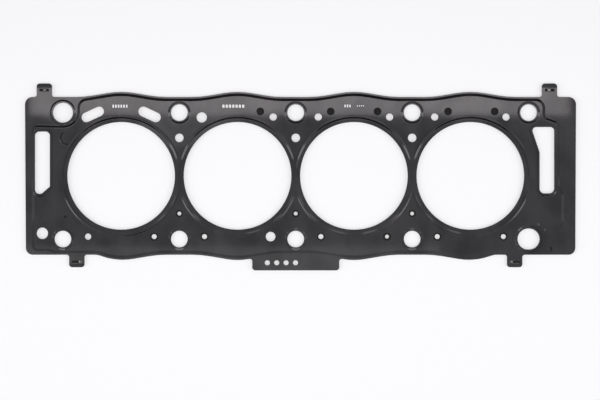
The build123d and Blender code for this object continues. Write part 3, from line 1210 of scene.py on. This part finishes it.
@dataclass
class Clinch:
    """The lanced tongues that hold the layers together at the four tabs.

    Args:
        length: Length of the window.
        width: Width of the window.
        corner: Radius of the window's corners.
        ramp: Length over which a tongue comes down.
        slit: Gap beside the tongue.
        gap: Gap past its free end.
        row: Distance of the tongues from the middle of the gasket.
        levels: Heights of the pressed tongues' faces, from the block up.
        coins: Distance from the hinge, half length and half width of the spot that the punch
            has coined, at each of the places.
        coin_lift: How far such a spot stands up.
    """

    length: float = 7.8
    width: float = 2.4
    corner: float = 0.25
    ramp: float = 1.6
    slit: float = 0.1
    gap: float = 0.4
    row: float = 68.6
    levels: tuple[float, ...] = (0.0, 0.15, 0.65, 0.80)
    coins: tuple[Triple, ...] = (
        (4.1, 1.3, 0.35),
        (6.1, 0.75, 0.7),
        (4.1, 1.3, 0.6),
        (6.1, 0.75, 0.7),
    )
    coin_lift: float = 0.03

    RAMP_STEPS = 10
    COIN_SIDES = 16
    COIN_CREST = 0.7
    COIN_LEAN = 0.12

    def places(self, pattern: Pattern) -> list[tuple[float, float, int]]:
        """The x and y of each hinge line, and the way its tongue points."""
        rows = ((pattern.top_tabs, self.row), (pattern.bottom_tabs, -self.row))
        return [
            (tabs[end] - way * self.length / 2, row, way)
            for end, way in ((0, 1), (1, -1))
            for tabs, row in rows
        ]

    def windows(self, pattern: Pattern) -> list[Array]:
        """Outlines of the windows."""
        half = self.width / 2
        loops = []
        for x, y, way in self.places(pattern):
            left, right = sorted((x, x + way * self.length))
            around = ((left, y + half), (right, y + half), (right, y - half), (left, y - half))
            window = Outline([(*place, self.corner) for place in around])
            loops.append(window.points(-PressedSheet.EDGE_BREAK))
        return loops

    def add_tongues(
        self,
        shell: Shell,
        pattern: Pattern,
        sheet: Pair,
        pressed: Pair,
    ) -> None:
        """Adds one layer's tongues.

        Args:
            shell: The shell of the layer.
            pattern: Where the tabs are.
            sheet: Heights of the layer's two faces at the tabs, lower one first.
            pressed: Heights of the tongues' two faces, lower one first.
        """
        ramp = np.linspace(0.0, self.ramp, self.RAMP_STEPS)
        run = np.append(ramp, self.length - self.gap)
        fall = smoothstep(run / self.ramp)
        lower = sheet[0] + fall * (pressed[0] - sheet[0])
        upper = sheet[1] + fall * (pressed[1] - sheet[1])
        tilt = np.gradient(upper, run)
        half = self.width / 2 - self.slit
        sides = np.tile([0.0, 1.0, 0.0], (len(run), 1))
        for x, y, way in self.places(pattern):
            rows = []
            for across, height in ((half, upper), (-half, upper), (-half, lower), (half, lower)):
                rows.append(np.column_stack([x + way * run, np.full(len(run), y + across), height]))
            up = np.column_stack([-way * tilt, np.zeros(len(run)), np.ones(len(run))])
            for left, right, facing, finish in (
                # The tongue's upper face takes the matt core coating as painted shade in its
                # recess.
                (0, 1, up, Surface.PAINTED_SHADE),
                (2, 3, -up, Surface.FACE),
                (1, 2, -sides, Surface.CUT),
                (3, 0, sides, Surface.CUT),
            ):
                self.add_strip(shell, rows[left], rows[right], facing, way, finish)
            for index, facing in ((0, -way), (-1, way)):
                corners = np.array([row[index] for row in rows])
                first = shell.add_points(corners, np.tile([float(facing), 0.0, 0.0], (4, 1)))
                quad = np.array([[0, 1, 2], [0, 2, 3]]) + first
                shell.add_faces(quad if facing < 0 else quad[:, ::-1], Surface.CUT)

    def add_coins(self, shell: Shell, pattern: Pattern) -> None:
        """Adds the spots that the punch has coined bright on the uppermost tongues."""
        count = self.COIN_SIDES
        numbers = np.arange(count)
        turns = np.linspace(0.0, 2 * math.pi, count, endpoint=False)
        around = np.column_stack([np.cos(turns), np.sin(turns)])
        lean = np.column_stack([around * self.COIN_LEAN, np.ones(count)])
        level = np.tile([0.0, 0.0, 1.0], (count, 1))
        base = np.full(count, self.levels[3])
        for (x, y, way), (far, *size) in zip(self.places(pattern), self.coins):
            middle = (x + way * far, y)
            rim = np.column_stack([around * size + middle, base])
            inner = around * size * self.COIN_CREST + middle
            crest = np.column_stack([inner, base + self.coin_lift])
            low = shell.add_points(rim, lean) + numbers
            high = shell.add_points(crest, level) + numbers
            for faces in (
                (low, np.roll(low, -1), high),
                (high, np.roll(low, -1), np.roll(high, -1)),
                (np.full(count - 2, high[0]), high[1:-1], high[2:]),
                (np.full(count - 2, low[0]), low[2:], low[1:-1]),
            ):
                shell.add_faces(np.column_stack(faces), Surface.CUT)

    @staticmethod
    def add_strip(
        shell: Shell,
        left: Array,
        right: Array,
        facing: Array,
        way: int,
        finish: Surface,
    ) -> None:
        """Adds one long face of a tongue between two of its edges."""
        count = len(left)
        a = shell.add_points(left, facing) + np.arange(count - 1)
        b = shell.add_points(right, facing) + np.arange(count - 1)
        quads = np.vstack([np.column_stack([a, b, b + 1]), np.column_stack([a, b + 1, a + 1])])
        shell.add_faces(quads if way > 0 else quads[:, ::-1], finish)


@dataclass
class Gasket:
    """The whole stack, which makes its layers and dresses them."""

    finishes: dict[Finish, Material]
    pattern: Pattern = field(default_factory=Pattern)
    stack: Stack = field(default_factory=Stack)
    clinch: Clinch = field(default_factory=Clinch)
    ink_lift: float = 0.006
    ink_sunk: float = 0.004
    ink_corner: float = 0.25
    strike: float = 0.12
    stopper_break: float = 0.03
    stopper_sharp: float = math.radians(35.0)
    prints: tuple[PrintRow, ...] = (
        PrintRow(-145.7, 55.6, 6, 2.14, 1.25, 2.4),
        PrintRow(-57.7, 55.6, 7, 2.62, 1.75, 2.5),
        PrintRow(39.4, 55.8, 3, 1.95, 1.05, 2.1),
        PrintRow(49.3, 55.9, 4, 1.6, 0.75, 0.95),
    )

    def openings(self, head_side: bool) -> list[Array]:
        """Loops of all the openings of a layer, grown by the edge break."""
        grown = -PressedSheet.EDGE_BREAK
        pattern = self.pattern
        enlarged = pattern.head_side_holes() if head_side else []
        covered = {(hole.x, hole.y) for hole in enlarged}
        holes = [hole for hole in pattern.passages() if (hole.x, hole.y) not in covered]
        holes += enlarged + pattern.bolt_holes() + pattern.bores()
        loops = [hole.points(grown) for hole in holes]
        loops += [slot.points(grown) for slot in pattern.end_slots()]
        loops += self.clinch.windows(pattern)
        return loops

    def plan(self, head_side: bool, creases: Sequence[Array]) -> Plan:
        """Cuts a layer's plan."""
        outer = self.pattern.outer_edge().points(PressedSheet.EDGE_BREAK)
        return Plan.cut(outer, self.openings(head_side), [*creases, *self.pattern.bend_creases()])

    def layer(self, side: Side) -> Piece:
        """Makes one of the three layers.

        Args:
            side: Which layer.

        Returns:
            The piece.
        """
        stack, bend = self.stack, self.pattern.bend
        relief = Relief(self.pattern, stack.bead)
        creases: list[Array] = []
        hollow: Height | None = None
        if side is Side.CORE:
            faces, pressed = (stack.core_bottom, stack.core_top), self.clinch.levels[1:3]
            lower: Height = lambda at: faces[0] - bend(at)
            upper: Height = lambda at: faces[1] - bend(at)
        elif side is Side.BLOCK:
            creases += relief.creases()
            faces, pressed = (stack.bead, stack.core_bottom), self.clinch.levels[0:2]
            lower = lambda at: faces[0] - relief(at) - bend(at)
            upper = lambda at: faces[1] - relief(at) - bend(at)
        else:
            creases += relief.creases() + relief.struck_creases()
            faces, pressed = (stack.core_top, stack.low - self.ink_lift), self.clinch.levels[2:4]
            lower = lambda at: faces[0] + relief(at) - bend(at)
            upper = lambda at: faces[1] + relief(at) - self.strike * relief.struck(at) - bend(at)
            # The marks' depth also picks the faces that take painted shade.
            hollow = lambda at: np.maximum(relief.marks(at), relief.struck(at))
        plan = self.plan(side is Side.HEAD, creases)
        shell = PressedSheet(plan, upper, lower, hollow).shell()
        self.clinch.add_tongues(shell, self.pattern, faces, pressed)
        if side is Side.HEAD:
            self.clinch.add_coins(shell, self.pattern)
        return shell.build(side.value)

    def layers(self) -> None:
        """Makes the three layers in place of the plain ones."""
        nodes = {
            Side.HEAD: "top_bead_layer",
            Side.CORE: "core_layer",
            Side.BLOCK: "bottom_bead_layer",
        }
        for side, node in nodes.items():
            face = CORE_COATING_AND_PAINTED_SHADE if side is Side.CORE else BLACK_COATING
            piece = self.layer(side)
            # The third material is the matt core coating, painted shade on the marks and tongue
            # tops.
            self.dress(piece, face, CUT_STEEL, CORE_COATING_AND_PAINTED_SHADE)
            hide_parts(node)

    def stoppers(self) -> None:
        """Makes the four stopper rings in place of the plain ones."""
        inner, outer = self.pattern.stopper_radii
        stack = self.stack
        middle = stack.core_top + stack.stopper / 2
        piece = ring_tree().make(
            "stopper_rings",
            Radius=(inner + outer) / 2 * MM,
            Width=(outer - inner) * MM,
            Thickness=stack.stopper * MM,
            Edge_break=self.stopper_break * MM,
            Start=(self.pattern.cylinders[0] * MM, 0.0, middle * MM),
            Step=(self.pattern.pitch * MM, 0.0, 0.0),
            Count=len(self.pattern.cylinders),
            Material=self.finishes[STOPPER_STEEL],
        )
        piece.data.shade_smooth()
        piece.data.set_sharp_from_angle(angle=self.stopper_sharp)
        self.dress(piece, STOPPER_STEEL)
        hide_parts(*(f"stopper_ring_{number}" for number in range(1, 5)))

    def printing(self) -> None:
        """Prints the rows of plain white bars on the head side."""
        tree = print_tree()
        low = (self.stack.high - self.ink_lift - self.ink_sunk) * MM
        for number, row in enumerate(self.prints, start=1):
            piece = tree.make(
                f"print_row_{number}",
                Width=row.width * MM,
                Height=row.height * MM,
                Corner=row.width * self.ink_corner * MM,
                Thickness=(self.ink_lift + self.ink_sunk) * MM,
                Start=(row.x * MM, row.y * MM, low),
                Step=(row.pitch * MM, 0.0, 0.0),
                Count=row.count,
                Material=self.finishes[WHITE_INK],
            )
            self.dress(piece, WHITE_INK)

    def dress(self, piece: Piece, *finishes: Finish) -> None:
        """Gives a piece its materials and the body that it rides on."""
        if not piece.data.materials:
            for finish in finishes:
                piece.data.materials.append(self.finishes[finish])
        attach(piece, BODY)
        log.info("%s: %d faces", piece.name, len(piece.data.polygons))

    def build(self) -> None:
        """Makes every piece."""
        self.layers()
        self.stoppers()
        self.printing()


@dataclass(frozen=True)
class Softbox:
    """A soft rectangular lamp.

    Args:
        name: Name of the lamp.
        place: Its centre, in metres.
        size: Its width and height.
        radiance: How bright its face is, where 1 is white.
        tint: Its colour.
        level: Whether it faces straight down, or else the gasket.
    """

    name: str
    place: Triple
    size: Pair
    radiance: float
    tint: Triple = (1.0, 1.0, 1.0)
    level: bool = True


SOFTBOXES = (
    Softbox("far_softbox", (0.003, 0.1115, 0.5), (0.646, 0.058), 3.1, tint=(1.0, 0.93, 0.96)),
    Softbox("fill_softbox", (-0.14, 0.064, 0.5), (0.10, 0.038), 0.72),
    Softbox("near_softbox", (-0.08, -0.095, 0.5), (0.50, 0.04), 0.65),
    Softbox("low_softbox", (-0.002, -0.165, 0.5), (0.545, 0.028), 1.1),
    Softbox("ring_strip", (-0.002, -0.232, 0.5), (0.06, 0.026), 1.3),
    Softbox("ring_strip_right", (0.138, -0.232, 0.5), (0.06, 0.026), 1.3),
    Softbox("left_strip", (-0.42, -0.021, 0.5), (0.10, 0.05), 0.6),
    Softbox("right_strip", (0.42, -0.02, 0.5), (0.10, 0.06), 0.6),
    Softbox("left_softbox", (-2.0, -0.3, 0.9), (1.2, 1.2), 4.0, level=False),
    Softbox("right_softbox", (2.0, -0.3, 0.9), (1.2, 1.2), 4.0, level=False),
)


class Studio:
    """Floor, lamps, world and camera."""

    AIM = (3.4, -19.3)
    HEIGHT = 1.0
    PIXELS_PER_MM = 1.2502
    WIDTH_PIXELS = 600
    SENSOR = 36.0
    FAR_CLIP = 20.0
    FLOOR_LEVEL = -0.00001
    FLOOR_SHEETS = ((-12.0, 12.0, -12.0, 12.0),)
    PAPER = (0.95, 0.95, 0.95, 1.0)
    GLOW, GLOW_SHARE = 1.09, 0.35
    OVERHEAD = (0.86, 0.94)
    HORIZON = (0.56, 0.56, 0.58, 1.0)
    ZENITH = (0.84, 0.84, 0.90, 1.0)
    CARD_LEVEL = 0.5
    CARD_COLOUR, CARD_ROUGHNESS = (0.02, 0.02, 0.02, 1.0), 0.9
    CARD_SHEETS = (
        (-0.7, 0.7, 0.205, 0.52),
        (-0.325, -0.235, 0.182, 0.205),
        (-0.375, -0.325, 0.155, 0.205),
        (0.31, 0.372, 0.175, 0.205),
    )

    @staticmethod
    def stand(
        name: str,
        sheets: Sequence[tuple[float, ...]],
        level: float,
        material: Material,
    ) -> Piece:
        """Makes something of the studio from level sheets.

        Args:
            name: Its name.
            sheets: The left, right, near and far limit of each sheet, in metres.
            level: Height of the sheets.
            material: Their material.

        Returns:
            The object, with its faces up.
        """
        corners: list[Triple] = []
        for left, right, near, far in sheets:
            around = ((left, near), (right, near), (right, far), (left, far))
            corners += [(x, y, level) for x, y in around]
        mesh = bpy.data.meshes.new(name)
        faces = [tuple(range(first, first + 4)) for first in range(0, len(corners), 4)]
        mesh.from_pydata(corners, [], faces)
        mesh.materials.append(material)
        piece = put_in_scene(name, mesh)
        return piece

    def floor(self) -> None:
        """Lays a pale floor that keeps the shadow of what stands on it, and is clear from below."""
        material = bpy.data.materials.new("pale_floor")
        nodes = bare_nodes(material)
        rays = nodes.add("ShaderNodeLightPath").outputs
        seen = nodes.math("MAXIMUM", rays["Is Camera Ray"], rays["Is Glossy Ray"])
        seen = nodes.math("MAXIMUM", seen, rays["Is Transmission Ray"])
        shares = (
            nodes.math("MULTIPLY", seen, self.GLOW_SHARE),
            nodes.add("ShaderNodeNewGeometry").outputs["Backfacing"],
        )
        layers = (
            nodes.add("ShaderNodeEmission", values={"Strength": self.GLOW}),
            nodes.add("ShaderNodeBsdfTransparent"),
        )
        surface = nodes.add("ShaderNodeBsdfDiffuse", values={"Color": self.PAPER})
        for share, layer in zip(shares, layers):
            values = {0: share, 1: surface.outputs[0], 2: layer.outputs[0]}
            surface = nodes.add("ShaderNodeMixShader", values=values)
        nodes.end("Material", surface)
        self.stand("floor", self.FLOOR_SHEETS, self.FLOOR_LEVEL, material)

    def world(self) -> None:
        """Makes the world a soft grey dome that is lighter overhead."""
        world = bpy.data.worlds.new("studio")
        nodes = bare_nodes(world)
        way = nodes.add("ShaderNodeTexCoord").outputs["Generated"]
        height = nodes.add("ShaderNodeSeparateXYZ", values={0: way}).outputs["Z"]
        grey = nodes.blend(nodes.ramp(height, *self.OVERHEAD), self.HORIZON, self.ZENITH)
        nodes.end("World", nodes.add("ShaderNodeBackground", values={"Color": grey}))
        bpy.context.scene.world = world

    def lamp(self, softbox: Softbox) -> None:
        """Hangs a softbox that the camera doesn't see."""
        light = bpy.data.lights.new(softbox.name, "AREA")
        light.shape = "RECTANGLE"
        light.size, light.size_y = softbox.size
        light.color = softbox.tint
        light.energy = softbox.radiance * math.pi * light.size * light.size_y
        lamp = put_in_scene(softbox.name, light)
        lamp.location = softbox.place
        if not softbox.level:
            lamp.rotation_euler = (-Vector(softbox.place)).to_track_quat("-Z", "Y").to_euler()
        lamp.visible_camera = False

    def card(self) -> None:
        """Hangs a dark card, with three flaps, that the far slopes of the beads reflect."""
        material = bpy.data.materials.new("black_card")
        values = {"Base Color": self.CARD_COLOUR, "Roughness": self.CARD_ROUGHNESS}
        nodes = bare_nodes(material)
        nodes.end("Material", nodes.add("ShaderNodeBsdfPrincipled", values=values))
        card = self.stand("dark_card", self.CARD_SHEETS, self.CARD_LEVEL, material)
        card.visible_camera = False

    def camera(self) -> None:
        """Looks straight down."""
        data = bpy.data.cameras.new("camera")
        width = self.WIDTH_PIXELS / self.PIXELS_PER_MM * MM
        data.sensor_width = self.SENSOR
        data.lens = self.SENSOR * self.HEIGHT / width
        data.clip_end = self.FAR_CLIP
        camera = put_in_scene("camera", data)
        camera.location = (self.AIM[0] * MM, self.AIM[1] * MM, self.HEIGHT)
        bpy.context.scene.camera = camera

    def build(self) -> None:
        """Sets everything up."""
        bpy.context.scene.view_settings.view_transform = "Standard"
        self.camera()
        self.floor()
        self.world()
        self.card()
        for softbox in SOFTBOXES:
            self.lamp(softbox)


def main() -> None:
    """Builds the gasket and the studio."""
    logging.basicConfig(level=logging.INFO, format="%(name)s: %(message)s")
    mottle = mottle_effect()
    scratches = scratch_effect()
    finishes = {
        finish: finish.material(mottle, scratches)
        for finish in (BLACK_COATING, CORE_COATING_AND_PAINTED_SHADE, CUT_STEEL, STOPPER_STEEL, WHITE_INK)
    }
    Studio().build()
    Gasket(finishes).build()


if __name__ == "__main__":
    main()
